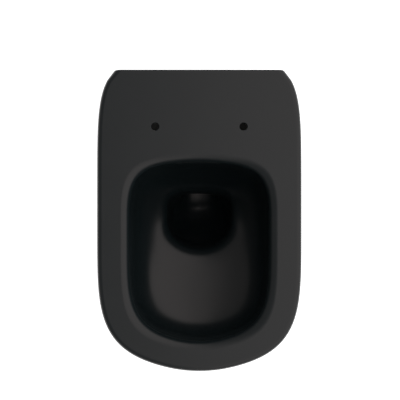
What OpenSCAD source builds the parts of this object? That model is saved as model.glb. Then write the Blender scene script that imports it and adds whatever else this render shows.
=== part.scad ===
// Wall-hung toilet pan in matt black vitreous china, with its concealed side fixings,
// flush inlet seal and flush guide. Millimetres, +Z up, the wall is the plane y = 0,
// the pan projects towards -Y, and the origin is midway between the two wall studs.

/* [Pan] */
// Width of the pan at the rim
pan_w = 360; // [352:1:366]
// Projection of the pan from the wall
pan_d = 530; // [522:1:540]
// Height of the flat rim above the wall studs
rim_z = 80; // [80:1:84]
// Height of the whole pan, from its underside to the rim
pan_h = 335; // [333:1:342]
// Thickness of the skirt, which hides the trap
skirt_t = 11; // [9:0.5:12]
// Thickness of the bowl and trap walls
bowl_t = 10; // [8:0.5:11]
// Thickness of the deck that carries the seat
deck_t = 14; // [12:0.5:16]

/* [Rim and bowl opening] */
// Radius of the rim's outer top edge
rim_edge_r = 9; // [6:0.5:11]
// Radius of the lip round the bowl opening
lip_r = 15.5; // [10:0.5:16]
// Width of the bowl opening between its vertical walls
bowl_w = 246; // [240:1:250]
// Distance from the wall to the rear of the bowl opening
bowl_rear = 161.5; // [159:0.5:164]
// Distance from the wall to the front of the bowl opening
bowl_front = 477.5; // [472:0.5:480]
// Depth of the hidden cove under the lip, where the flush water runs
cove = 6; // [3:0.5:7]

/* [Interfaces] */
// Distance between the two seat hinge holes
seat_pitch = 155; // [150:1:160]
// Distance from the wall to the seat hinge holes
seat_y = 100; // [96:1:104]
// Radius of a seat hinge hole
seat_hole_r = 7; // [6:0.25:8]
// Distance between the wall studs
stud_pitch = 180; // [178:1:182]
// Radius of the holes that the M12 wall studs pass through
stud_hole_r = 6.5; // [6.25:0.05:6.75]
// Height of the flush inlet above the wall studs
inlet_z = 35; // [33:1:37]
// Radius of the ceramic inlet socket
inlet_r = 27.5; // [27:0.25:28]
// Radius of the flush pipe, which the inlet seal grips
flush_pipe_r = 22.5; // [22:0.1:23]
// Height of the waste outlet above the wall studs
outlet_z = -100; // [-102:1:-98]
// Outside radius of the waste spigot
outlet_r = 51; // [50:0.5:52]
// Inside radius of the waste spigot
outlet_bore_r = 43; // [42.5:0.25:43.5]

/* [Side fixings] */
// Distance from the wall to the side locking screws
lock_y = 80; // [76:1:84]
// Radius of the side cover cap
cap_r = 12; // [11:0.5:13]

/* [Hidden] */
$fn = 48;

glaze = [0.12, 0.12, 0.12];
rubber = [0.05, 0.05, 0.05];
abs_black = [0.1, 0.1, 0.1];
zinc = [0.72, 0.73, 0.75];
nylon = [0.85, 0.84, 0.8];

// ---- outlines -------------------------------------------------------------
// A loop is a closed ring of points. Each half has back, side and nose stretches,
// from the middle of the back to the middle of the front.
back_n = 3;
side_n = 7;
nose_n = 14;
half_n = back_n + side_n + nose_n;
loop_n = 2 * half_n;

widest_y = 0.5094;    // share of the projection at which the outline is widest
back_reach = 1.0789;  // where the side curves would close, as a share of widest_y
back_q = 6.24;        // how late the sides turn in towards the wall
back_p = 4.94;        // how sharply they turn in

// Radius at angle a of a rounded oblong whose squareness fades from its side to its end.
function oblong(a, w, b, n_side, n_end, k) =
    let (n = n_side - (n_side - n_end) * pow(sin(a), k))
    pow(pow(cos(a) / w, n) + pow(sin(a) / b, n), -1 / n);

// Half-width of the rim outline, as a share of its widest, at a share v of the way to widest_y.
function side_share(v) = pow(1 - pow((1 - v) / back_reach, back_q), 1 / back_p);

// One half of the outline of the pan for half-width w and projection d.
function rim_half(w, d) =
    let (yw = -widest_y * d, b = d + yw, corner = w * side_share(0))
    concat(
        [for (i = [0:back_n - 1]) [corner * i / back_n, 0]],
        [for (j = [0:side_n - 1]) let (v = pow(j / side_n, 1.6)) [w * side_share(v), yw * v]],
        [for (m = [0:nose_n]) let (a = 90 * m / nose_n, r = oblong(a, w, b, 3.93, 2.29, 4))
            [r * cos(a), yw - r * sin(a)]]);

function mirrored(half) =
    concat(half, [for (i = [len(half) - 2:-1:1]) [-half[i].x, half[i].y]]);

// Moves a half outline inwards by t, keeping its back on the wall plane.
function inset_half(h, t) =
    let (last = len(h) - 1,
         moved = [for (i = [back_n:last])
             let (a = h[i == back_n ? i : i - 1],
                  b = i == last ? [-h[i - 1].x, h[i - 1].y] : h[i + 1],
                  along = (b - a) / norm(b - a))
             i == back_n ? [h[i].x + t / along.y, 0] : h[i] + t * [along.y, -along.x]])
    concat([for (i = [0:back_n - 1]) [moved[0].x * i / back_n, 0]], moved);

function rim_loop(w, d, t = 0) = mirrored(t == 0 ? rim_half(w, d) : inset_half(rim_half(w, d), t));

// Closed oblong about the origin: half-width w, reaching u rearwards and l forwards.
function ring_half(w, u, l, front_n, front_end, rear_n, rear_end) =
    [for (i = [0:half_n])
        let (rear = back_n + side_n, a = i < rear ? 90 * pow(1 - i / rear, 0.9) : 90 * (i - rear) / nose_n,
             r = i < rear ? oblong(a, w, u, rear_n, rear_end, 4.5) : oblong(a, w, l, front_n, front_end, 4.5))
        [r * cos(a), (i < rear ? r : -r) * sin(a)]];

// ---- skins ----------------------------------------------------------------
// Closed solid through a list of rings of the same number of points, capped at both ends.
module skin(rings) {
    n = len(rings[0]);
    m = len(rings);
    function middle(r) = [for (k = [0:2]) let (s = [for (p = r) p[k]]) (min(s) + max(s)) / 2];
    points = concat([for (r = rings, p = r) p], [middle(rings[0]), middle(rings[m - 1])]);
    polyhedron(points, concat(
        [for (j = [0:m - 2], i = [0:n - 1]) let (k = (i + 1) % n)
            [j * n + i, (j + 1) * n + k, (j + 1) * n + i]],
        [for (j = [0:m - 2], i = [0:n - 1]) let (k = (i + 1) % n)
            [j * n + i, j * n + k, (j + 1) * n + k]],
        [for (i = [0:n - 1]) [m * n, (i + 1) % n, i]],
        [for (i = [0:n - 1]) [m * n + 1, (m - 1) * n + i, (m - 1) * n + (i + 1) % n]]));
}

function at_height(loop, z) = [for (p = loop) [p.x, p.y, z]];
function reversed(list) = [for (i = [len(list) - 1:-1:0]) list[i]];

// ---- skirt ----------------------------------------------------------------
bottom_z = rim_z - pan_h;
band_z = rim_z - 50;       // the skirt is upright above this height
foot_w = 120;              // half-width of the skirt at its underside
foot_d = 340;              // projection of the skirt at its underside
foot_r = 12;               // rounding of the underside's edge

function below(z) = max(0, (band_z - z) / (band_z - bottom_z));
function skirt_w(z) = pan_w / 2 - (pan_w / 2 - foot_w) * pow(below(z), 1.8);
function skirt_d(z) = pan_d - (pan_d - foot_d) * pow(below(z), 1.55);
function skirt_loop(z, t = 0) = at_height(rim_loop(skirt_w(z), skirt_d(z), t), z);

skirt_levels = [-243, -222, -192, -158, -122, -86, -50, -14, 14];

skirt_rings = concat(
    [at_height(rim_loop(skirt_w(bottom_z), skirt_d(bottom_z), foot_r), bottom_z)],
    [for (a = [30, 60]) let (z = bottom_z + foot_r * (1 - cos(a)))
        at_height(rim_loop(skirt_w(z), skirt_d(z), foot_r * (1 - sin(a))), z)],
    [for (z = skirt_levels) skirt_loop(z)],
    [skirt_loop(band_z + 8)],
    [for (a = [0:22.5:90]) at_height(
        rim_loop(pan_w / 2, pan_d, rim_edge_r * (1 - cos(a))), rim_z - rim_edge_r * (1 - sin(a)))]);

// ---- waterway -------------------------------------------------------------
// Each station of the waterway is a ring in a plane turned about X:
// [turn, y, z, half-width, reach to the rear or inside, reach to the front or outside].
bowl_y = -279;                       // where the opening is widest
bowl_u = -bowl_rear - bowl_y;
bowl_l = bowl_front + bowl_y;
bowl_a = bowl_w / 2;

function opening(z, out) = [0, bowl_y, z, bowl_a + out, bowl_u + out, bowl_l + out];

lip_stations = [for (a = [90:-22.5:0])
    opening(rim_z - lip_r * (1 - sin(a)), lip_r * (1 - cos(a)))];

// Open and trap shapes: squareness at the sides and end of the front, then of the rear.
open_shape = [4.3, 2.35, 3.8, 2.3];
trap_shape = [2.6, 2.1, 2.6, 2.2];
soft_c = 30;              // how gently a ring dips about its middle

// A bowl ring by its half-width, its front, rear and middle distances from the wall, and
// its heights at the middle, front and rear. It tilts and dips lengthwise to meet them.
function level(w, front, rear, middle, z, z_front, z_rear, shape = open_shape) =
    let (u = middle - rear, l = front - middle,
         su = sqrt(u * u + soft_c * soft_c) - soft_c, sl = sqrt(l * l + soft_c * soft_c) - soft_c,
         det = -l * su - sl * u)
    [0, -middle, z, w, u, l, ((z_front - z) * su - sl * (z_rear - z)) / det,
     (-l * (z_rear - z) - u * (z_front - z)) / det, shape];

bowl_stations = [
    opening(58, 0),
    opening(50, cove),
    opening(34, cove),
    opening(24, 2),
    level(bowl_a - 1.5, bowl_front - 1.5, bowl_rear + 1.5, -bowl_y, 0, 4, -4),
    level(117.5, 473, 169, 280, -38, -28, -52),
    level(110.5, 464.5, 177, 281, -54, -42, -74, [3.6, 2.5, 3.8, 2.3]),
    level(100, 447.5, 185, 283, -66.5, -55, -91, [3.1, 2.5, 3.8, 2.3]),
    level(88, 416, 192, 281, -76, -65, -104, [2.6, 2.25, 3.8, 2.4]),
    level(77, 377, 198, 275, -83, -74, -112, [2.6, 2.25, 4, 2.7]),
    level(64.5, 331.5, 204.5, 267, -90, -84.5, -118, [2.3, 2.1, 4.4, 3.2]),
    level(60, 321, 210, 264, -101, -96, -125, [2.15, 2.05, 4.6, 3.4]),
    level(59, 316.5, 214, 264, -115, -112, -133, [2.1, 2.05, 4.6, 3.4]),
    level(57.5, 313.5, 216.3, 263.5, -137, -134, -146, [2.2, 2.05, 4.2, 3.2]),
    level(56, 309.5, 217, 263, -162, -162, -163, [2.3, 2.1, 3.6, 2.8])];
bowl_drops = [0, 0, 0, 0, 0, 3, 6, 8, 9, 9, 8, 6, 4, 2, 0];   // extra depth of the outside

// The trap turns about the rounded edge of the tongue that holds the water seal.
tongue_y = -208;
tongue_z = -182.5;
tongue_r = 9;
trap_turns = [[20, 52, 67], [40, 43.5, 59], [60, 37, 58.7], [80, 35, 53], [100, 37, 51.5],
              [120, 35, 52.5], [135, 34.5, 55]];   // [turn, half-width, height of the passage]
trap_stations = [for (s = trap_turns)
    [s[0], tongue_y - (tongue_r + s[2] / 2) * cos(s[0]), tongue_z - (tongue_r + s[2] / 2) * sin(s[0]),
     s[1], s[2] / 2, s[2] / 2]];

limb_stations = [
    [135, -150, -176, 36, 29, 29],
    [132, -124, -149, 37.5, 31, 31],
    [120, -101, -128, 39, 33.5, 33.5],
    [105, -78, -112, 40.5, 36.5, 36.5],
    [94, -57, -102.5, 41.5, 39, 39],
    [90, -38, outlet_z, 41.5, 41.5, 41.5]];

function station_ring(s, grow = 0, drop = 0) =
    let (tilts = len(s) > 6, shape = tilts ? s[8] : s[3] > 100 ? open_shape : trap_shape,
         half = ring_half(s[3] + grow, s[4] + grow, s[5] + grow, shape[0], shape[1], shape[2], shape[3]))
    [for (p = mirrored(half))
        let (lift = tilts ? s[6] * p.y + s[7] * (sqrt(p.y * p.y + soft_c * soft_c) - soft_c) : 0)
        [p.x, s[1] + p.y * cos(s[0]), s[2] - drop + p.y * sin(s[0]) + lift]];

// The pan's outside and its whole waterway as one skin, before the hollow is taken out.
module pan_skin() {
    skin(concat(skirt_rings,
        [for (s = concat(lip_stations, bowl_stations, trap_stations, limb_stations)) station_ring(s)]));
}

// ---- hollow behind the bowl -----------------------------------------------
hollow_top = rim_z - deck_t;
hollow_floor = bottom_z + skirt_t;
back_wall = 13;           // thickness of the flange that meets the wall

module skirt_hollow() {
    levels = [hollow_floor, -215, -175, -130, -85, -40, 10, hollow_top];
    skin([for (z = levels) [for (p = skirt_loop(z, skirt_t)) [p.x, min(p.y, -back_wall), z]]]);
}

inlet_end = -12;          // the inlet horn stops short of the wall, to seat the seal's collar

module back_window() {
    hull()
        for (side = [-1, 1], c = [[110, 26], [74, -182]])
            translate([side * c.x, 5, c.y]) rotate([90, 0, 0]) cylinder(r = 18, h = 25);
    translate([-44, -20, 30]) cube([88, 25, hollow_top - 30]);
}

module bowl_outside() {
    first = station_ring(opening(hollow_top + 4, 0), bowl_t + 1);
    rings = [for (i = [0:len(bowl_stations) - 1]) station_ring(bowl_stations[i], bowl_t, bowl_drops[i])];
    last = [for (p = rings[len(rings) - 1]) [p.x, p.y, hollow_floor - 4]];
    skin(reversed(concat([first], rings, [last])));
}

module trap_outside() {
    round_stations = [for (s = concat(trap_stations, limb_stations)) if (s[0] >= 60) s];
    last = [90, -44, outlet_z, 43.5, 43.5, 43.5];
    skin(reversed([for (s = concat([for (s = round_stations) if (s[1] < -44) s], [last]))
        station_ring(s, bowl_t)]));
    translate([-46, -285, hollow_floor - 4]) cube([92, 130, 32]);
}

module inlet_boss() {
    translate([0, inlet_end, inlet_z]) rotate([90, 0, 0]) cylinder(r = 40, h = 155);
    translate([-40, -165, inlet_z]) cube([80, 165 + inlet_end, hollow_top + 2 - inlet_z]);
    translate([-58, -165, 2]) cube([116, 40, hollow_top]);
}

module hollow() {
    difference() {
        union() {
            skirt_hollow();
            back_window();
        }
        bowl_outside();
        trap_outside();
        inlet_boss();
    }
}

niche_y = -143;           // floor of the niche that holds the flush guide
niche_w = 88;
niche_z = [15, 57];

module guide_niche() {
    r = 8;
    hull()
        for (side = [-1, 1], z = [niche_z[0] + r, niche_z[1] - r])
            translate([side * (niche_w / 2 - r), niche_y, z]) rotate([90, 0, 0]) cylinder(r = r, h = 25);
}

// ---- the ceramic ----------------------------------------------------------
lock_z = 0;
lock_x = skirt_w(lock_z) * side_share(lock_y / (widest_y * skirt_d(lock_z)));   // skirt face there
cap_seat_x = lock_x - 5;   // floor of the cap's recess
bush_hole_r = 10;
channel_r = 15;

module along_x(r, x0, x1) {
    translate([x0, -lock_y, lock_z]) rotate([0, 90, 0]) cylinder(r = r, h = x1 - x0);
}

module along_y(r, y0, y1, x, z) {
    translate([x, y1, z]) rotate([90, 0, 0]) cylinder(r = r, h = y1 - y0);
}

module pan() {
    color(glaze)
    difference() {
        union() {
            resize([pan_w, pan_d, pan_h])
            difference() {
                pan_skin();
                hollow();
                guide_niche();
            }
            along_y(outlet_r, -52, -3, 0, outlet_z);
        }
        along_y(outlet_bore_r, -53, 1, 0, outlet_z);
        along_y(inlet_r, -45, 0, 0, inlet_z);
        along_y(channel_r, -150, -40, 0, inlet_z);
        for (side = [-1, 1]) {
            translate([side * seat_pitch / 2, -seat_y, hollow_top - 6]) cylinder(r = seat_hole_r, h = deck_t + 8);
            mirror([side < 0 ? 1 : 0, 0, 0]) {
                along_x(bush_hole_r, lock_x - 22, lock_x);
                along_x(cap_r + 0.5, cap_seat_x, lock_x + 8);
            }
        }
    }
}

// ---- flush parts ----------------------------------------------------------
module turned(profile) {
    rotate([90, 0, 0]) rotate_extrude() polygon(profile);
}

collar_r = 30;            // collar of the seal, which closes on the horn's end
seal_r = inlet_r - 0.15;  // body of the seal, inside the socket

module inlet_seal() {
    color(rubber)
    translate([0, 0, inlet_z])
    turned([[flush_pipe_r, 2.5], [flush_pipe_r + 1.5, 1], [collar_r - 1, 1], [collar_r, 2],
            [collar_r, -inlet_end - 0.05], [seal_r, -inlet_end - 0.05], [seal_r, 18], [seal_r - 1.2, 20],
            [seal_r, 22], [seal_r, 28], [seal_r - 1.2, 30], [seal_r, 32], [seal_r, 42],
            [flush_pipe_r + 0.8, 42], [flush_pipe_r + 0.8, 13.5], [flush_pipe_r, 12.5]]);
}

gasket_t = 1.5;
guide_y = niche_y - gasket_t;

module rounded_plate(w, h, t, r) {
    linear_extrude(t) {
        square([w - 2 * r, h], center = true);
        square([w, h - 2 * r], center = true);
        for (x = [-1, 1], z = [-1, 1])
            translate([x * (w / 2 - r), z * (h / 2 - r)]) circle(r = r);
    }
}

module flush_guide() {
    mid_z = (niche_z[0] + niche_z[1]) / 2;
    color(abs_black)
    difference() {
        union() {
            translate([0, guide_y, mid_z]) rotate([90, 0, 0]) rounded_plate(84, 36, 3, 6);
            translate([0, guide_y - 9, mid_z]) rotate([90, 0, 0]) rounded_plate(80, 34, 2.5, 6);
            for (x = [-38, -1.5, 35])
                translate([x, guide_y - 10, mid_z + 4]) cube([3, 8, 12]);
            translate([0, guide_y + 20, inlet_z]) rotate([90, 0, 0]) cylinder(r = channel_r - 0.3, h = 21);
        }
        translate([0, guide_y + 21, inlet_z]) rotate([90, 0, 0]) cylinder(r = channel_r - 2.3, h = 24.01);
    }
}

module guide_gasket() {
    color(rubber)
    translate([0, niche_y - 0.05, inlet_z]) rotate([90, 0, 0])
    difference() {
        cylinder(r = channel_r + 4.3, h = gasket_t - 0.1);
        translate([0, 0, -1]) cylinder(r = channel_r + 0.3, h = gasket_t + 2);
    }
}

// ---- wall brackets, right-hand set ----------------------------------------
stud_x = stud_pitch / 2;
pad_t = 3;
plate_t = 5;
plate_w = 40;
plate_h = 68;
arm_x = stud_x + 15;
boss_x = [stud_x + 2, stud_x + 37];
boss_r = 12;

module bracket_pad() {
    color(rubber)
    difference() {
        translate([stud_x, 0, 0]) rotate([90, 0, 0]) rounded_plate(plate_w, plate_h, pad_t, 5);
        along_y(stud_hole_r, -pad_t - 1, 1, stud_x, 0);
    }
}

module bracket() {
    front_y = -lock_y - boss_r - 4;
    color(zinc)
    difference() {
        union() {
            translate([stud_x, -pad_t, 0]) rotate([90, 0, 0]) rounded_plate(plate_w, plate_h, plate_t, 5);
            translate([arm_x, front_y + 8, -20]) cube([5, -pad_t - plate_t - front_y - 7, 40]);
            translate([arm_x, front_y, -12]) cube([5, 9, 24]);
            for (z = [-20, 17])
                translate([arm_x - 33, -pad_t - plate_t + 0.5, z])
                linear_extrude(3) polygon([[0, 0], [34, 0], [34, -34]]);
            along_x(boss_r, boss_x[0], boss_x[1]);
        }
        along_y(stud_hole_r, -20, 1, stud_x, 0);
        along_x(4.25, boss_x[0] - 1, boss_x[1] + 1);
        translate([boss_x[0] - 1, -lock_y, lock_z]) rotate([0, 90, 0]) cylinder(r = 7.8, h = 8, $fn = 6);
    }
}

module stud_washer() {
    y = -pad_t - plate_t - 0.02;
    color(zinc)
    difference() {
        along_y(12, y - 2.5, y, stud_x, 0);
        along_y(stud_hole_r, y - 3, y + 1, stud_x, 0);
    }
}

module stud_nut() {
    y = -pad_t - plate_t - 2.54;
    color(zinc)
    difference() {
        union() {
            translate([stud_x, y - 0.9, 0]) rotate([90, 0, 0]) cylinder(r = 10.4, h = 9.9, $fn = 6);
            along_y(9.3, y - 1, y, stud_x, 0);
        }
        along_y(6.2, y - 12, y + 1, stud_x, 0);
    }
}

module clamp_nut() {
    color(zinc)
    difference() {
        translate([boss_x[0] + 0.2, -lock_y, lock_z]) rotate([0, 90, 0]) cylinder(r = 7.5, h = 6.5, $fn = 6);
        along_x(4.1, boss_x[0] - 1, boss_x[0] + 8);
    }
}

// ---- side locking set -----------------------------------------------------
head_x = cap_seat_x - 5;   // seat of the screw head inside the bush
head_h = 3.5;

module locking_screw() {
    color(zinc)
    difference() {
        union() {
            along_x(4, boss_x[0] + 0.5, head_x + 1);
            along_x(6.8, head_x + 0.05, head_x + head_h);
        }
        translate([head_x + 1, -lock_y, lock_z]) rotate([0, 90, 0]) cylinder(r = 3.46, h = 5, $fn = 6);
    }
}

module screw_bush() {
    color(nylon)
    difference() {
        union() {
            along_x(bush_hole_r - 0.1, head_x - 3.5, cap_seat_x + 0.1);
            along_x(cap_r - 0.2, cap_seat_x + 0.05, cap_seat_x + 1.5);
        }
        along_x(4.4, head_x - 5, head_x + 1);
        along_x(7.2, head_x, cap_seat_x + 3);
    }
}

module side_cap() {
    x0 = cap_seat_x + 1.6;
    x1 = lock_x - 0.4;
    color(abs_black)
    translate([0, -lock_y, lock_z]) rotate([0, 90, 0]) rotate_extrude()
        polygon([[0, x0 + 0.8], [5.8, x0 + 0.8], [5.8, x0 - 2.8], [6.7, x0 - 2.8], [7, x0 - 2.3], [7, x0],
                 [cap_r, x0], [cap_r, x1 - 1.4], [cap_r - 0.5, x1 - 0.5], [cap_r - 1.6, x1], [0, x1 + 0.2]]);
}

module left() {
    mirror([1, 0, 0]) children();
}

pan();
inlet_seal();
flush_guide();
guide_gasket();
left() bracket();  // bracket_left
bracket();  // bracket_right
left() bracket_pad();  // bracket_pad_left
bracket_pad();  // bracket_pad_right
left() stud_washer();  // stud_washer_left
stud_washer();  // stud_washer_right
left() stud_nut();  // stud_nut_left
stud_nut();  // stud_nut_right
left() clamp_nut();  // clamp_nut_left
clamp_nut();  // clamp_nut_right
left() locking_screw();  // locking_screw_left
locking_screw();  // locking_screw_right
left() screw_bush();  // screw_bush_left
screw_bush();  // screw_bush_right
left() side_cap();  // side_cap_left
side_cap();  // side_cap_right
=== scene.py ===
"""A matt black wall-hung toilet pan, seen from straight above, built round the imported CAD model.

The ceramic is lofted from rings, as the CAD source does it but finer and with soft edges, and cut
with booleans. Lengths in the shape code are millimetres in the part's frame: x to the right, y into
the wall, z up, with the wall at y = 0 and the origin between the two wall studs.
"""

import math

import bmesh
import bpy
import numpy as np
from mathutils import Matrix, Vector
from mathutils.bvhtree import BVHTree


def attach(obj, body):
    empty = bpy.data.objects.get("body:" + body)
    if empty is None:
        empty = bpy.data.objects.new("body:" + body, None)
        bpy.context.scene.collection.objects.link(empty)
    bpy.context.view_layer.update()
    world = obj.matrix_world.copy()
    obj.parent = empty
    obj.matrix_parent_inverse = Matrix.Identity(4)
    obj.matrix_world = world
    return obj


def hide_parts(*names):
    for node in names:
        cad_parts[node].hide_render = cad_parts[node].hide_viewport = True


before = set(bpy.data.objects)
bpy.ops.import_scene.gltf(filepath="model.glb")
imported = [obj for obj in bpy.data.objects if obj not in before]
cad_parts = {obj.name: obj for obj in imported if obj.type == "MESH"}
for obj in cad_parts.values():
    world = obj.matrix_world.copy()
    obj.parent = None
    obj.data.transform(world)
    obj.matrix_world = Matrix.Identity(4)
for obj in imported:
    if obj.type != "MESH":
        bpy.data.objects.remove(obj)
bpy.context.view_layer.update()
MM = 0.001

# ---------------------------------------------------------------- outlines
BACK_N, SIDE_N, NOSE_N = 10, 30, 46  # points of half a loop: flat back, side, nose
PAN_W, PAN_D, PAN_H, RIM_Z = 360.0, 530.0, 335.0, 80.0
BOTTOM_Z = RIM_Z - PAN_H
WIDEST = 0.5094  # where the pan is widest, as a share of its projection
REACH, BACK_Q, BACK_P = 1.0789, 6.24, 4.94  # how the side narrows towards the wall
SIDE_SQUARE, NOSE_SQUARE = 3.93, 2.29  # squareness of the nose's sides and of its tip
CORNER_R = 3.0  # rounding of the upright edges at the wall
CORNER_N = 3  # points of a loop on each side of that edge that the rounding takes


def oblong(a, w, b, n_side, n_end, k):
    """Radius at angle a of a rounded oblong whose squareness fades from its side to its end."""
    n = n_side - (n_side - n_end) * np.sin(a) ** k
    return ((np.cos(a) / w) ** n + (np.sin(a) / b) ** n) ** (-1 / n)


def side_share(v):
    """Half-width of the outline, as a share of its widest, at a share v of the way to there."""
    return (1 - ((1 - v) / REACH) ** BACK_Q) ** (1 / BACK_P)


def rim_half(w, d):
    """Half the pan's outline for half-width w and projection d, from mid back to mid front."""
    yw = -WIDEST * d
    b = d + yw
    v = np.linspace(0, 1, SIDE_N + 1)[:-1] ** 1.35
    a = np.radians(np.linspace(0, 90, NOSE_N + 1))
    r = oblong(a, w, b, SIDE_SQUARE, NOSE_SQUARE, 4)
    side = np.column_stack([w * side_share(v), yw * v])
    nose = np.column_stack([r * np.cos(a), yw - r * np.sin(a)])
    corner = side[0, 0]
    back = np.column_stack([corner * np.linspace(0, 1, BACK_N + 1)[:-1], np.zeros(BACK_N)])
    return np.vstack([back, side, nose])


def inset_half(h, t, back=0.0):
    """Moves a half outline inwards by t, and its back off the wall by back."""
    ends = np.vstack([h, [-h[-2, 0], h[-2, 1]]])
    along = ends[2:] - ends[:-2]
    along = np.vstack([[0, 0], along])
    along[BACK_N] = ends[BACK_N + 1] - ends[BACK_N]
    n = np.linalg.norm(along, axis=1, keepdims=True)
    n[0] = 1
    u = along / n
    out = h + t * np.column_stack([u[:, 1], -u[:, 0]])
    # the corner slides along the side to the moved back
    c = h[BACK_N] + t * np.array([u[BACK_N, 1], -u[BACK_N, 0]])
    out[BACK_N] = c + u[BACK_N] * ((-back - c[1]) / u[BACK_N, 1])
    for i in range(BACK_N + 1, len(h)):
        out[i, 1] = min(out[i, 1], -back - 0.02 * (i - BACK_N))
    out[:BACK_N, 0] = out[BACK_N, 0] * np.linspace(0, 1, BACK_N + 1)[:-1]
    out[:BACK_N, 1] = -back
    return out


def round_corner(h, r):
    """Rounds the upright edge where the side meets the flat back."""
    out = h.copy()
    c = h[BACK_N]
    along = h[BACK_N + 1] - c
    along /= np.linalg.norm(along)
    first = BACK_N - CORNER_N
    for i in range(2 * CORNER_N + 1):
        out[first + i] = bend(c, along, r, i / (2 * CORNER_N))
    out[:first, 0] = out[first, 0] * np.linspace(0, 1, first + 1)[:-1]
    return out


def bend(c, along, r, t):
    """A point at share t of the way round a soft corner at c, from the back to the side."""
    a = c + np.array([-r, 0])
    b = c + along * r
    return (1 - t) ** 2 * a + 2 * t * (1 - t) * c + t * t * b


def mirrored(half):
    """The whole loop from its half with x from 0 up."""
    return np.vstack([half, half[-2:0:-1] * [-1, 1]])


def rim_loop(w, d, t=0.0, back=0.0, corner=CORNER_R):
    """The pan's outline, moved in by t and off the wall by back, with its corners rounded."""
    h = inset_half(rim_half(w, d), t, back)
    if corner:
        h = round_corner(h, corner)
    return mirrored(h)


def at_height(loop, z):
    return np.column_stack([loop, np.full(len(loop), z)])


def ring_half(w, u, l, shape):
    """Half a closed oblong: half-width w, reaching u to the rear and l to the front."""
    nf, nfe, nr, nre = shape
    rear = BACK_N + SIDE_N
    a1 = np.radians(90 * (1 - np.arange(rear) / rear) ** 0.9)
    a2 = np.radians(90 * np.arange(NOSE_N + 1) / NOSE_N)
    r1 = oblong(a1, w, u, nr, nre, 4.5)
    r2 = oblong(a2, w, l, nf, nfe, 4.5)
    return np.vstack([
        np.column_stack([r1 * np.cos(a1), r1 * np.sin(a1)]),
        np.column_stack([r2 * np.cos(a2), -r2 * np.sin(a2)]),
    ])


# ---------------------------------------------------------------- skins
def skin(name, rings):
    """A closed mesh through rings of the same number of points, capped at both ends."""
    n, m = len(rings[0]), len(rings)
    pts = np.vstack(rings)
    mids = [(r.min(0) + r.max(0)) / 2 for r in (rings[0], rings[-1])]
    i = np.arange(n)
    k = (i + 1) % n
    faces = []
    for j in range(m - 1):
        faces += np.column_stack([j * n + i, j * n + k, (j + 1) * n + k, (j + 1) * n + i]).tolist()
    edges = list(zip(i.tolist(), k.tolist()))
    last = (m - 1) * n
    faces += [[m * n, b, a] for a, b in edges]
    faces += [[m * n + 1, last + a, last + b] for a, b in edges]
    return mesh_object(name, np.vstack([pts, mids]), faces)


def mesh_object(name, points, faces):
    """An object from points in millimetres, with its faces turned outwards."""
    me = bpy.data.meshes.new(name)
    me.from_pydata((np.asarray(points) * MM).tolist(), [], faces)
    bm = bmesh.new()
    bm.from_mesh(me)
    if bm.calc_volume(signed=True) < 0:
        bmesh.ops.reverse_faces(bm, faces=bm.faces)
        bm.to_mesh(me)
    bm.free()
    o = bpy.data.objects.new(name, me)
    bpy.context.scene.collection.objects.link(o)
    return o


# ---------------------------------------------------------------- skirt
BAND_Z = RIM_Z - 50  # the skirt is upright above this height
FOOT_W, FOOT_D = 120.0, 340.0  # half-width and projection of the foot
FOOT_R, EDGE_R, BACK_R = 12.0, 9.0, 1.6  # edges rounded: foot, rim, top of the back
NARROWS, RECEDES = 1.8, 1.55  # how the skirt curves in towards the foot, from the sides and the front


def below(z):
    """How far down the curved part of the skirt the height z is, from 0 to 1."""
    return max(0.0, (BAND_Z - z) / (BAND_Z - BOTTOM_Z))


def skirt_w(z):
    return PAN_W / 2 - (PAN_W / 2 - FOOT_W) * below(z) ** NARROWS


def skirt_d(z):
    return PAN_D - (PAN_D - FOOT_D) * below(z) ** RECEDES


def skirt_loop(z, t=0.0):
    return at_height(rim_loop(skirt_w(z), skirt_d(z), t), z)


def back_round(z):
    """How far the back stands off the wall where its top edge is rounded."""
    up = z - (RIM_Z - BACK_R)
    return BACK_R - math.sqrt(max(0.0, BACK_R**2 - max(0.0, up) ** 2))


def skirt_rings():
    """Rings from the underside up the skirt and over the rounded rim."""
    rings = []
    for a in np.radians(np.linspace(0, 90, 8)[:-1]):
        z = BOTTOM_Z + FOOT_R * (1 - math.cos(a))
        rings.append(skirt_loop(z, FOOT_R * (1 - math.sin(a))))
    for z in np.linspace(BOTTOM_Z + FOOT_R, BAND_Z + 8, 46):
        rings.append(skirt_loop(z))
    for z in np.linspace(BAND_Z + 8, RIM_Z - EDGE_R, 6)[1:-1]:
        rings.append(skirt_loop(z))
    for a in np.radians(np.linspace(0, 90, 13)):
        z = RIM_Z - EDGE_R * (1 - math.sin(a))
        t = EDGE_R * (1 - math.cos(a))
        rings.append(at_height(rim_loop(PAN_W / 2, PAN_D, t, back_round(z)), z))
    rings.append(at_height(rim_loop(PAN_W / 2, PAN_D, EDGE_R + 1.0, BACK_R + 1.0), RIM_Z))
    return rings


# ---------------------------------------------------------------- waterway
LIP_R, COVE = 15.5, 6.0  # the rounded lip of the opening, and how far the wall under it steps out
BOWL_A, BOWL_Y, BOWL_REAR, BOWL_FRONT = 123.0, -279.0, 161.5, 477.5
# squareness of a ring: front sides, front end, rear sides, rear end
OPEN = (4.3, 2.35, 3.8, 2.3)
TRAP = (2.6, 2.1, 2.6, 2.2)
ROUND = (2, 2, 2, 2)
SOFT_C = 30.0  # how softly a ring that rises at both ends turns at its middle


def ring_of(turn, y, z, w, u, l, rise, dip, shape, grow=0.0, drop=0.0):
    """A ring about (y, z) in a plane turned about X, which may also rise and dip lengthwise."""
    p = mirrored(ring_half(w + grow, u + grow, l + grow, shape))
    t = math.radians(turn)
    lift = rise * p[:, 1] + dip * (np.sqrt(p[:, 1] ** 2 + SOFT_C**2) - SOFT_C)
    height = z - drop + p[:, 1] * math.sin(t) + lift
    return np.column_stack([p[:, 0], y + p[:, 1] * math.cos(t), height])


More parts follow.
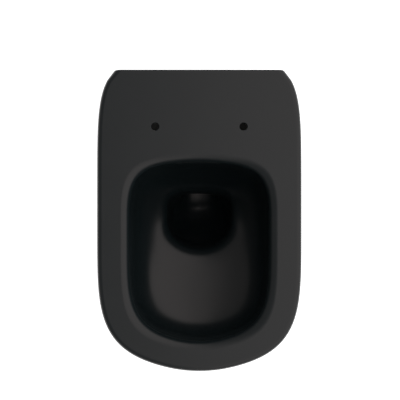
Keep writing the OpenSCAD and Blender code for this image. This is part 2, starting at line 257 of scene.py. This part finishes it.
def opening(z, out):
    """A level ring in the shape of the opening, at height z and wider by out all round."""
    u, l = -BOWL_Y - BOWL_REAR, BOWL_FRONT + BOWL_Y
    return (0, BOWL_Y, z, BOWL_A + out, u + out, l + out, 0, 0, OPEN)


def level(w, front, rear, middle, z, z_front, z_rear, shape):
    """A bowl ring by where it runs: its front, rear and middle along y, and its heights there."""
    u, l = middle - rear, front - middle
    su, sl = (math.sqrt(v * v + SOFT_C**2) - SOFT_C for v in (u, l))
    # z_front = z - rise*l + dip*sl and z_rear = z + rise*u + dip*su
    det = -l * su - sl * u
    rise = ((z_front - z) * su - sl * (z_rear - z)) / det
    dip = (-l * (z_rear - z) - u * (z_front - z)) / det
    return (0, -middle, z, w, u, l, rise, dip, shape)


# from the opening down the walls, over the sloping floor and the shelves, into the well
BOWL = [
    level(121.5, 476, 163, 279, 0, 4, -4, OPEN),
    level(117.5, 473, 169, 280, -38, -28, -52, OPEN),
    level(110.5, 464.5, 177, 281, -54, -42, -74, (3.6, 2.5, 3.8, 2.3)),
    level(100, 447.5, 185, 283, -66.5, -55, -91, (3.1, 2.5, 3.8, 2.3)),
    level(88, 416, 192, 281, -76, -65, -104, (2.6, 2.25, 3.8, 2.4)),
    level(77, 377, 198, 275, -83, -74, -112, (2.6, 2.25, 4.0, 2.7)),
    level(64.5, 331.5, 204.5, 267, -90, -84.5, -118, (2.3, 2.1, 4.4, 3.2)),
    level(60, 321, 210, 264, -101, -96, -125, (2.15, 2.05, 4.6, 3.4)),
    level(59, 316.5, 214, 264, -115, -112, -133, (2.1, 2.05, 4.6, 3.4)),
    level(57.5, 313.5, 216.3, 263.5, -137, -134, -146, (2.2, 2.05, 4.2, 3.2)),
    level(56, 309.5, 217, 263, -162, -162, -163, (2.3, 2.1, 3.6, 2.8)),
]

# the trap turns about the rounded edge of the tongue that holds the water seal:
# each step is (turn, half-width, height of the passage)
TONGUE_Y, TONGUE_Z, TONGUE_R = -208.0, -182.5, 9.0
TURNS = [
    (20, 52, 67),
    (40, 43.5, 59),
    (60, 37, 58.7),
    (80, 35, 53),
    (100, 37, 51.5),
    (120, 35, 52.5),
    (135, 34.5, 55),
]


def about_tongue(turn, w, h):
    """A ring of the trap where it has turned about the tongue."""
    t = math.radians(turn)
    reach = TONGUE_R + h / 2
    y, z = TONGUE_Y - reach * math.cos(t), TONGUE_Z - reach * math.sin(t)
    return (turn, y, z, w, h / 2, h / 2, 0, 0, TRAP)


TRAPS = [about_tongue(*step) for step in TURNS]
# the rising limb of the trap, and over its crest to the outlet
LIMB = [
    (135, -150, -176, 36, 29, 29, 0, 0, TRAP),
    (132, -124, -149, 37.5, 31, 31, 0, 0, TRAP),
    (120, -101, -128, 39, 33.5, 33.5, 0, 0, TRAP),
    (105, -78, -112, 40.5, 36.5, 36.5, 0, 0, TRAP),
    (94, -57, -102.5, 41.5, 39, 39, 0, 0, TRAP),
    (90, -38, -100, 41.5, 41.5, 41.5, 0, 0, ROUND),
]


def flat(s):
    """A ring's numbers in one row."""
    return np.array([*s[:8], *s[8]], dtype=float)


def unflat(v):
    """A ring from its row of numbers."""
    return (*v[:8], tuple(v[8:12]))


def smooth(stations, steps):
    """Rings between stations, along a centripetal Catmull-Rom curve through their numbers."""
    p = np.array([flat(s) for s in stations])
    p = np.vstack([2 * p[0] - p[1], p, 2 * p[-1] - p[-2]])
    gap = [max(1e-3, np.linalg.norm((b - a)[1:6])) ** 0.5 for a, b in zip(p, p[1:])]
    t = np.concatenate([[0], np.cumsum(gap)])
    out = []
    for j in range(1, len(p) - 2):
        for share in np.linspace(0, 1, steps, endpoint=False):
            x = t[j] + (t[j + 1] - t[j]) * share
            a1, a2, a3 = (between(x, t, p, i, i + 1) for i in (j - 1, j, j + 1))
            b1 = ((t[j + 1] - x) * a1 + (x - t[j - 1]) * a2) / (t[j + 1] - t[j - 1])
            b2 = ((t[j + 2] - x) * a2 + (x - t[j]) * a3) / (t[j + 2] - t[j])
            out.append(unflat(((t[j + 1] - x) * b1 + (x - t[j]) * b2) / (t[j + 1] - t[j])))
    out.append(unflat(p[-2]))
    return out


def between(x, t, p, i, k):
    """The straight line through points i and k, at x along t."""
    return ((t[k] - x) * p[i] + (x - t[i]) * p[k]) / (t[k] - t[i])


def faired(rings, rounds):
    """The rings with sudden changes of curvature evened out; the first and last stay."""
    p = np.array([flat(s) for s in rings])
    for _ in range(rounds):
        p[1:-1] = (p[:-2] + 2 * p[1:-1] + p[2:]) / 4
    return [unflat(v) for v in p]


def lip(a):
    """The opening's ring where the lip has turned by a from upright."""
    a = math.radians(a)
    return opening(RIM_Z - LIP_R * (1 - math.sin(a)), LIP_R * (1 - math.cos(a)))


LIP = [opening(RIM_Z, LIP_R + 1.0)] + [lip(a) for a in np.linspace(90, 0, 17)]
COVE_RINGS = [opening(60, 0), opening(57, 0.6), opening(53, 4), opening(49, 5.6), opening(42, COVE),
              opening(35, 5.6), opening(29, 4), opening(24, 2)]


def pan_skin():
    """The glazed surface, outside and inside, as one closed skin."""
    inner = LIP + smooth(COVE_RINGS + BOWL[:1], 2)[:-1]
    inner += faired(smooth(BOWL + TRAPS + LIMB, 8), 24)
    return skin("ceramic", skirt_rings() + [ring_of(*s) for s in inner])


# ---------------------------------------------------------------- hollow behind the bowl
SKIRT_T, DECK_T, BOWL_T, BACK_WALL = 11.0, 14.0, 10.0, 13.0  # thicknesses
HOLLOW_TOP, HOLLOW_FLOOR = RIM_Z - DECK_T, BOTTOM_Z + SKIRT_T
INLET_Z, INLET_END, OUTLET_Z = 35.0, -12.0, -100.0
DROPS = [0, 0, 0, 3, 6, 8, 9, 9, 8, 6, 4, 2, 0]  # extra depth of the bowl's outside, ring by ring


def skirt_hollow():
    """The inside of the skirt, from the base up to the deck."""
    rings = []
    for z in np.linspace(HOLLOW_FLOOR, HOLLOW_TOP, 26):
        p = at_height(rim_loop(skirt_w(z), skirt_d(z), SKIRT_T, 0, 0), z)
        p[:, 1] = np.minimum(p[:, 1], -BACK_WALL)
        rings.append(p)
    return skin("hollow", rings)


def bowl_outside():
    """The bowl with its wall, down to the base."""
    stations = [opening(HOLLOW_TOP + 4, 1), opening(30, 3)] + BOWL
    fine = smooth(stations, 4)
    drops = np.interp(np.linspace(0, len(DROPS) - 1, len(fine)), range(len(DROPS)), DROPS)
    rings = [ring_of(*s, grow=BOWL_T, drop=d) for s, d in zip(fine, drops)]
    last = rings[-1].copy()
    last[:, 2] = HOLLOW_FLOOR - 4
    return skin("bowl_outside", rings + [last])


def trap_outside():
    """The rising limb with its wall, as far as the spigot."""
    fine = smooth(TRAPS[2:] + LIMB, 4)
    rings = [ring_of(*s, grow=BOWL_T) for s in fine if s[1] < -44]
    end = (90, -44, OUTLET_Z, 43.5, 43.5, 43.5, 0, 0, ROUND)
    return skin("trap_outside", rings + [ring_of(*end, grow=BOWL_T)])


def slab(name, outline, steps):
    """A closed solid from an outline in X and Z, through (y, grow) steps along y."""
    rings = []
    for y, g in steps:
        q = grown(outline, g)
        rings.append(np.column_stack([q[:, 0], np.full(len(q), y), q[:, 1]]))
    return skin(name, rings)


def grown(outline, g):
    """A convex anticlockwise outline moved outwards by g."""
    d = np.roll(outline, -1, axis=0) - np.roll(outline, 1, axis=0)
    d /= np.linalg.norm(d, axis=1, keepdims=True)
    return outline + g * np.column_stack([d[:, 1], -d[:, 0]])


def rounded_outline(circles, n=10):
    """The anticlockwise outline round circles (x, z, r), given in that order."""
    pts = []
    for i, (x, z, r) in enumerate(circles):
        px, pz, _ = circles[i - 1]
        nx, nz, _ = circles[(i + 1) % len(circles)]
        a0 = math.atan2(px - x, z - pz)
        a1 = math.atan2(x - nx, nz - z)
        while a1 < a0:
            a1 += 2 * math.pi
        pts += [(x + r * math.cos(a), z + r * math.sin(a)) for a in np.linspace(a0, a1, n)]
    return np.array(pts)


def oblong_outline(x0, x1, z0, z1, r):
    corners = ((x1 - r, z1 - r), (x0 + r, z1 - r), (x0 + r, z0 + r), (x1 - r, z0 + r))
    return rounded_outline([(x, z, r) for x, z in corners])


def mouth(depth, edge, r, out=5.0, steps=5):
    """Steps along y for a cutter that goes from depth to a mouth at edge, rounded by r."""
    turn = np.linspace(0, math.pi / 2, steps)
    curve = [(edge - r + r * math.sin(a), r * (1 - math.cos(a))) for a in turn]
    return [(depth, 0), *curve, (edge + out, r)]


def lathe(name, profile, origin, axis, n=72):
    """A solid turned about a line; profile is (radius, distance along the axis), end to end."""
    ax = Vector(axis).normalized()
    side = ax.orthogonal().normalized()
    other = ax.cross(side)
    a = np.linspace(0, 2 * math.pi, n, endpoint=False)
    spoke = np.outer(np.cos(a), side) + np.outer(np.sin(a), other)
    rings = [np.array(origin) + h * np.array(ax) + max(r, 0.002) * spoke for r, h in profile]
    return skin(name, rings)


def flared(r, depth, edge, f=1.5, out=3.0):
    """Profile of a round cutter from depth up to a mouth at edge, rounded by f."""
    return [(r + g, h) for h, g in mouth(depth, edge, f, out, 7)]


def boolean(target, tool, operation="DIFFERENCE"):
    """Cuts the tool from the target, or joins it, and throws the tool away."""
    m = target.modifiers.new("cut", "BOOLEAN")
    m.operation = operation
    m.object = tool
    m.solver = "MANIFOLD"
    with bpy.context.temp_override(object=target, active_object=target):
        bpy.ops.object.modifier_apply(modifier=m.name)
    bpy.data.objects.remove(tool)


def block(lo, hi):
    """A cutter with flat sides between two corners."""
    p = [[x, y, z] for x in (lo[0], hi[0]) for y in (lo[1], hi[1]) for z in (lo[2], hi[2])]
    sides = [[0, 1, 3, 2], [4, 6, 7, 5], [0, 4, 5, 1], [2, 3, 7, 6], [0, 2, 6, 4], [1, 5, 7, 3]]
    return mesh_object("block", p, sides)


def hollow():
    """The space inside the casting, open to the wall through a window and a notch for the inlet."""
    space = skirt_hollow()
    # the window's corners: x, z and radius
    corners = [(110, 26, 18), (-110, 26, 18), (-74, -182, 18), (74, -182, 18)]
    window = slab("window", rounded_outline(corners, 14), mouth(-24, 0, 2.5))
    boolean(space, window, "UNION")
    notch = slab("notch", oblong_outline(-44, 44, 20, HOLLOW_TOP - 0.2, 4), mouth(-24, 0, 2.0))
    boolean(space, notch, "UNION")
    boolean(space, bowl_outside())
    boolean(space, trap_outside())
    boolean(space, block((-46, -285, HOLLOW_FLOOR - 4), (46, -155, HOLLOW_FLOOR + 28)))
    horn = [(38, INLET_END), (40, INLET_END - 2), (40, -167)]
    boolean(space, lathe("horn", horn, (0, 0, INLET_Z), INTO_WALL))
    boolean(space, block((-40, -165, INLET_Z), (40, INLET_END, HOLLOW_TOP + 2)))
    boolean(space, block((-58, -165, 2), (58, -125, HOLLOW_TOP + 2.1)))
    return space


# ---------------------------------------------------------------- ceramic
SLIVER = 0.00003  # metres: edges shorter than this are closed up
SEAT_X, SEAT_Y, SEAT_R = 77.5, -100.0, 7.0  # the holes for the seat's hinges
LOCK_Y, CAP_R, BUSH_R = -80.0, 12.0, 10.0  # the side holes
LOCK_X = skirt_w(0.0) * side_share(LOCK_Y / (-WIDEST * skirt_d(0.0)))  # the skirt there
CAP_SEAT = LOCK_X - 5  # floor of the cap's recess
SPIGOT_R, OUTLET_R, SOCKET_R, CHANNEL_R = 51.0, 43.0, 27.5, 15.0
INTO_WALL = (0, 1, 0)


def ceramic():
    """The casting, and the shape of its hollow for telling glazed faces from bare ones."""
    body = pan_skin()
    space = hollow()
    inside = BVHTree.FromPolygons([v.co[:] for v in space.data.vertices],
                                  [p.vertices[:] for p in space.data.polygons])
    boolean(body, space)
    boolean(body, slab("niche", oblong_outline(-44, 44, 15, 57, 8), [(-143, 0), (-168, 0)]))
    waste, inlet = (0, 0, OUTLET_Z), (0, 0, INLET_Z)
    spigot = [(SPIGOT_R, -52), (SPIGOT_R, -5.5), (SPIGOT_R - 0.7, -3.8), (SPIGOT_R - 2.2, -3)]
    boolean(body, lathe("spigot", spigot, waste, INTO_WALL, 96), "UNION")
    boolean(body, lathe("outlet", flared(OUTLET_R, -53, -3), waste, INTO_WALL, 96))
    boolean(body, lathe("socket", flared(SOCKET_R, -45, INLET_END), inlet, INTO_WALL))
    boolean(body, lathe("channel", [(CHANNEL_R, -150), (CHANNEL_R, -40)], inlet, INTO_WALL, 48))
    for side in (-1, 1):
        seat = (side * SEAT_X, SEAT_Y, 0)
        boolean(body, lathe("seat_hole", flared(SEAT_R, HOLLOW_TOP - 6, RIM_Z, 0.8), seat, (0, 0, 1)))
        row = (0, LOCK_Y, 0)
        outwards = (side, 0, 0)
        bush = [(BUSH_R, LOCK_X - 22), (BUSH_R, LOCK_X)]
        boolean(body, lathe("bush_hole", bush, row, outwards, 48))
        recess = flared(CAP_R + 0.5, CAP_SEAT, LOCK_X - 0.1, 0.8, 8)
        boolean(body, lathe("cap_recess", recess, row, outwards))
    return body, inside


def without_slivers(piece):
    """Closes up the slivers of no width that the booleans leave along shared lines."""
    bm = bmesh.new()
    bm.from_mesh(piece.data)
    bmesh.ops.remove_doubles(bm, verts=bm.verts, dist=SLIVER)
    bmesh.ops.dissolve_degenerate(bm, dist=SLIVER, edges=bm.edges)
    bm.to_mesh(piece.data)
    bm.free()


def shade(piece, angle=32):
    """Smooth shading that keeps edges sharper than the angle."""
    piece.data.shade_smooth()
    piece.data.set_sharp_from_angle(angle=math.radians(angle))


def level_deck(piece, z):
    """Points the shading normals of the flat deck straight up, also round its holes."""
    me = piece.data
    normals = [n.vector[:] for n in me.corner_normals]
    for face in me.polygons:
        if face.normal.z > 0.99999 and abs(face.center.z - z) < 1e-6:
            for i in face.loop_indices:
                normals[i] = (0, 0, 1)
    me.normals_split_custom_set(normals)


# ---------------------------------------------------------------- materials
NOISE_LOW, NOISE_HIGH = 0.3, 0.7


def noise(nodes, links, scale):
    """Noise over the object's own coordinates, in metres."""
    where = nodes.new("ShaderNodeTexCoord")
    tex = nodes.new("ShaderNodeTexNoise")
    tex.inputs["Scale"].default_value = scale
    tex.inputs["Detail"].default_value = 3.0
    links.new(where.outputs["Object"], tex.inputs["Vector"])
    return tex


def spread(nodes, links, source, low, high):
    """Maps noise from its usual range onto low to high."""
    r = nodes.new("ShaderNodeMapRange")
    r.inputs["From Min"].default_value = NOISE_LOW
    r.inputs["From Max"].default_value = NOISE_HIGH
    r.inputs["To Min"].default_value = low
    r.inputs["To Max"].default_value = high
    links.new(source, r.inputs["Value"])
    return r.outputs["Result"]


def ramp(nodes, links, source, dark, light):
    """Maps noise from its usual range onto the colours between dark and light."""
    c = nodes.new("ShaderNodeValToRGB")
    c.color_ramp.elements[0].position = NOISE_LOW
    c.color_ramp.elements[0].color = (*dark, 1)
    c.color_ramp.elements[1].position = NOISE_HIGH
    c.color_ramp.elements[1].color = (*light, 1)
    links.new(source, c.inputs["Fac"])
    return c.outputs["Color"]


def bump(nodes, links, shader, source, distance):
    """Raises the surface a little where the noise is high."""
    b = nodes.new("ShaderNodeBump")
    b.inputs["Strength"].default_value = 0.3
    b.inputs["Distance"].default_value = distance
    links.new(source, b.inputs["Height"])
    links.new(b.outputs["Normal"], shader.inputs["Normal"])


def varied(name, dark, light, rough, scale, bump_by=0.0, metallic=0.0, specks=900.0):
    """A material whose colour and roughness drift a little, with a fine surface grain."""
    m = bpy.data.materials.new(name)
    m.use_nodes = True
    nodes, links = m.node_tree.nodes, m.node_tree.links
    shader = nodes["Principled BSDF"]
    shader.inputs["Metallic"].default_value = metallic
    soft = noise(nodes, links, scale)
    links.new(ramp(nodes, links, soft.outputs["Fac"], dark, light), shader.inputs["Base Color"])
    links.new(spread(nodes, links, soft.outputs["Fac"], *rough), shader.inputs["Roughness"])
    if bump_by:
        fine = noise(nodes, links, specks)
        bump(nodes, links, shader, fine.outputs["Fac"], bump_by)
    return m, shader


glaze, shader = varied("matt_black_glaze", (0.0078, 0.0124, 0.0139), (0.0093, 0.0140, 0.0155),
                       (0.285, 0.315), 14.0, 0.00002, specks=420.0)
shader.inputs["Specular Tint"].default_value = (1.0, 0.90, 0.875, 1)
# bare inside faces and back of the casting: their dark grey is painted shade for the hollow seen
# through the seat holes and the open back, darker than bare biscuit
biscuit, shader = varied("bare_biscuit_dark_painted_shade", (0.030, 0.030, 0.029), (0.085, 0.082, 0.076),
                         (0.75, 0.9), 22.0, 0.0002, specks=260.0)
zinc, _ = varied("zinc_plate", (0.46, 0.47, 0.49), (0.60, 0.61, 0.63),
                 (0.30, 0.42), 60.0, 0.00003, metallic=1.0)
rubber, _ = varied("epdm_rubber", (0.018, 0.018, 0.019), (0.028, 0.028, 0.029),
                   (0.55, 0.68), 90.0, 0.00004)
foam, _ = varied("pe_foam", (0.080, 0.080, 0.082), (0.125, 0.125, 0.128),
                 (0.8, 0.92), 150.0, 0.0003)
nylon, _ = varied("natural_nylon", (0.66, 0.64, 0.58), (0.78, 0.76, 0.70),
                  (0.38, 0.48), 70.0, 0.00003)
plastic, _ = varied("black_abs", (0.012, 0.013, 0.014), (0.017, 0.018, 0.019),
                    (0.36, 0.44), 80.0, 0.00002)

# ---------------------------------------------------------------- pieces
pan_piece, bare = ceramic()
without_slivers(pan_piece)
pan_piece.data.materials.clear()
pan_piece.data.materials.append(glaze)
pan_piece.data.materials.append(biscuit)
# the hollow's faces and the back face get the bare material, whose dark grey is painted shade
for face in pan_piece.data.polygons:
    on_hollow = bare.find_nearest(face.center, 0.0001)[0] is not None
    on_wall = face.center.y > -0.0002 and face.normal.y > 0.9
    face.material_index = 1 if on_hollow or on_wall else 0
shade(pan_piece)
level_deck(pan_piece, RIM_Z * MM)
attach(pan_piece, "pan")
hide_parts("pan")

# a pull-off cap: a shallow dome with a rolled edge, and a short stem that fits into the bush,
# as (radius, distance from the pan's middle)
CAP = [
    (0, CAP_SEAT + 2.4), (5.8, CAP_SEAT + 2.4), (5.8, CAP_SEAT - 1.2), (6.7, CAP_SEAT - 1.2),
    (7, CAP_SEAT - 0.7), (7, CAP_SEAT + 1.6), (CAP_R, CAP_SEAT + 1.6), (CAP_R, LOCK_X - 1.8),
    (11.85, LOCK_X - 1.35), (11.5, LOCK_X - 0.95), (11.0, LOCK_X - 0.65), (10.3, LOCK_X - 0.42),
    (8.5, LOCK_X - 0.33), (5, LOCK_X - 0.25), (0, LOCK_X - 0.21),
]
for side, name in ((-1, "left"), (1, "right")):
    cap = lathe("cap_" + name + "_moulding", CAP, (0, LOCK_Y, 0), (side, 0, 0), 96)
    cap.data.materials.append(plastic)
    shade(cap, 40)
    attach(cap, "cap_" + name)
    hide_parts("side_cap_" + name)

# the CAD nodes that keep their shape
PAIRS = {
    "bracket": zinc,
    "stud_washer": zinc,
    "stud_nut": zinc,
    "clamp_nut": zinc,
    "locking_screw": zinc,
    "bracket_pad": foam,
    "screw_bush": nylon,
}
FINISH = {name + side: finish for name, finish in PAIRS.items() for side in ("_left", "_right")}
FINISH |= {"inlet_seal": rubber, "guide_gasket": rubber, "flush_guide": plastic}
for name, finish in FINISH.items():
    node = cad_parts[name]
    node.data.materials.clear()
    node.data.materials.append(finish)

# ---------------------------------------------------------------- stage, camera and light
FLOOR_Z, FLOOR_SPAN = -320.0, 4000.0
around = ((-1, -1), (1, -1), (1, 1), (-1, 1))
square = [(x * FLOOR_SPAN, y * FLOOR_SPAN, FLOOR_Z) for x, y in around]
floor = mesh_object("floor", square, [[0, 1, 2, 3]])
pale, shader = varied("pale_floor", (0.88, 0.88, 0.88), (0.90, 0.90, 0.90), (0.85, 0.95), 2.0)
shader.inputs["Emission Color"].default_value = (1, 1, 1, 1)
shader.inputs["Emission Strength"].default_value = 0.9
floor.data.materials.append(pale)

scene = bpy.context.scene
scene.view_settings.view_transform = "Standard"
DISTANCE = 2.5  # of the camera above the rim
FIELD = 0.7018  # width seen at the rim
CENTRE_X, CENTRE_Y = 0.0012, -0.2288  # the point under the camera

lens = bpy.data.cameras.new("camera")
lens.sensor_width = 36
lens.lens = lens.sensor_width * DISTANCE / FIELD
camera = bpy.data.objects.new("camera", lens)
camera.location = (CENTRE_X, CENTRE_Y, RIM_Z * MM + DISTANCE)
scene.collection.objects.link(camera)
scene.camera = camera


def ceiling(name, x_from, x_to, y_from, y_to, radiance, height=2.9):
    """A flat softbox over the pan, between these angles from straight up, in degrees."""
    x0, x1, y0, y1 = (math.tan(math.radians(v)) * height for v in (x_from, x_to, y_from, y_to))
    light = bpy.data.lights.new(name, "AREA")
    light.shape = "RECTANGLE"
    light.size, light.size_y = x1 - x0, y1 - y0
    light.energy = radiance * math.pi * light.size * light.size_y
    o = bpy.data.objects.new(name, light)
    o.location = ((x0 + x1) / 2, (y0 + y1) / 2 - 0.28, height)
    scene.collection.objects.link(o)


ceiling("main", -1, 80, -68, 76, 0.72)
ceiling("soft_edge", -12, 76, -68, 76, 0.16)

world = bpy.data.worlds.new("studio")
scene.world = world
world.use_nodes = True
surround = world.node_tree.nodes["Background"]
surround.inputs["Color"].default_value = (1, 1, 1, 1)
surround.inputs["Strength"].default_value = 0.27
